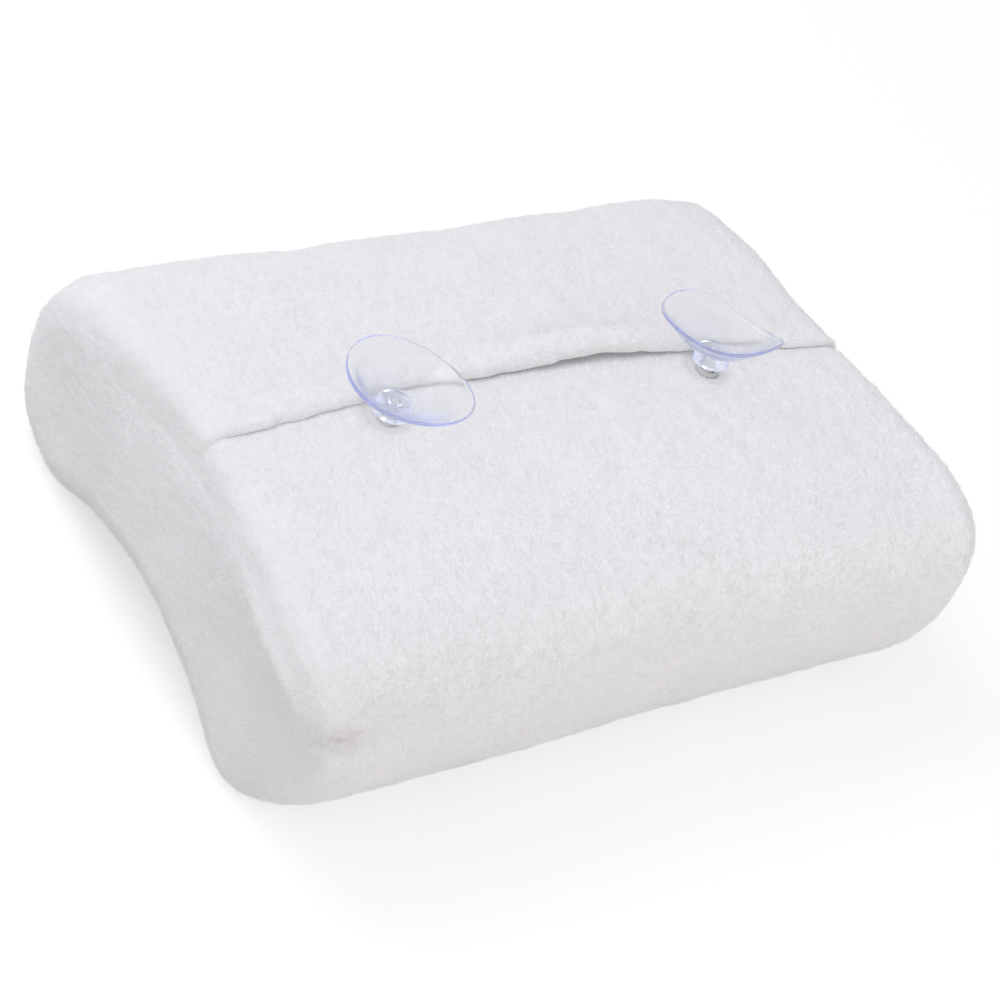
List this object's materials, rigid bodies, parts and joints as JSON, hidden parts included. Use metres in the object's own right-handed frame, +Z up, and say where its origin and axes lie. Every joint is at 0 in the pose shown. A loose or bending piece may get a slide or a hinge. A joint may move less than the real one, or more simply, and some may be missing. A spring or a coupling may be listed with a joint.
{
  "type": "bath pillow",
  "caption": "Contoured foam bath pillow in a white plush cover that laps shut across its back, with clear suction cups on tacks that rock and turn to grip a tub wall.",
  "frame": {"origin": "on the table under the middle of the bounding box, the pillow lying on the two lobes of its contoured front", "axes": "+X along the pillow's length, +Y from the near (thicker) edge to the far (thinner) edge, +Z up out of the back, the way the suction cups face"},
  "size_m": [0.319, 0.2171, 0.1159],
  "materials": {
    "memory_foam": "open-cell slow-recovery polyurethane foam, cream",
    "plush": "white short-pile polyester plush",
    "binding": "white overlock thread",
    "webbing": "white woven polyester tape",
    "tack_plastic": "natural moulded nylon",
    "clear_vinyl": "clear soft PVC with a faint blue tint, glossy"
  },
  "bodies": {
    "pillow": {"foam_core": "memory_foam", "cover_wrap": "plush", "left_end_panel": "plush", "right_end_panel": "plush", "left_seam_binding": "binding", "right_seam_binding": "binding", "anchor_tape": "webbing", "left_eyelet": "binding", "right_eyelet": "binding"},
    "left_tack": {"left_cup_tack": "tack_plastic"},
    "left_cup": {"left_suction_cup": "clear_vinyl"},
    "right_tack": {"right_cup_tack": "tack_plastic"},
    "right_cup": {"right_suction_cup": "clear_vinyl"}
  },
  "joints": [
    {"name": "left_cup_rock", "type": "hinge", "parent": "pillow", "child": "left_tack", "pos_m": [-0.07408, 0.0022, 0.08865], "axis": [1, 0, 0], "range_deg": [-14, 14], "stiffness_Nm_per_rad": 0.05},
    {"name": "left_cup_spin", "type": "hinge", "parent": "left_tack", "child": "left_cup", "pos_m": [-0.07408, 0.0022, 0.08865], "axis": [0.0663, 0.1403, 0.9879], "continuous": true},
    {"name": "right_cup_rock", "type": "hinge", "parent": "pillow", "child": "right_tack", "pos_m": [0.07424, -0.00144, 0.08895], "axis": [1, 0, 0], "range_deg": [-6, 22], "stiffness_Nm_per_rad": 0.05},
    {"name": "right_cup_spin", "type": "hinge", "parent": "right_tack", "child": "right_cup", "pos_m": [0.07424, -0.00144, 0.08895], "axis": [0.0262, 0.2739, 0.9614], "continuous": true}
  ]
}
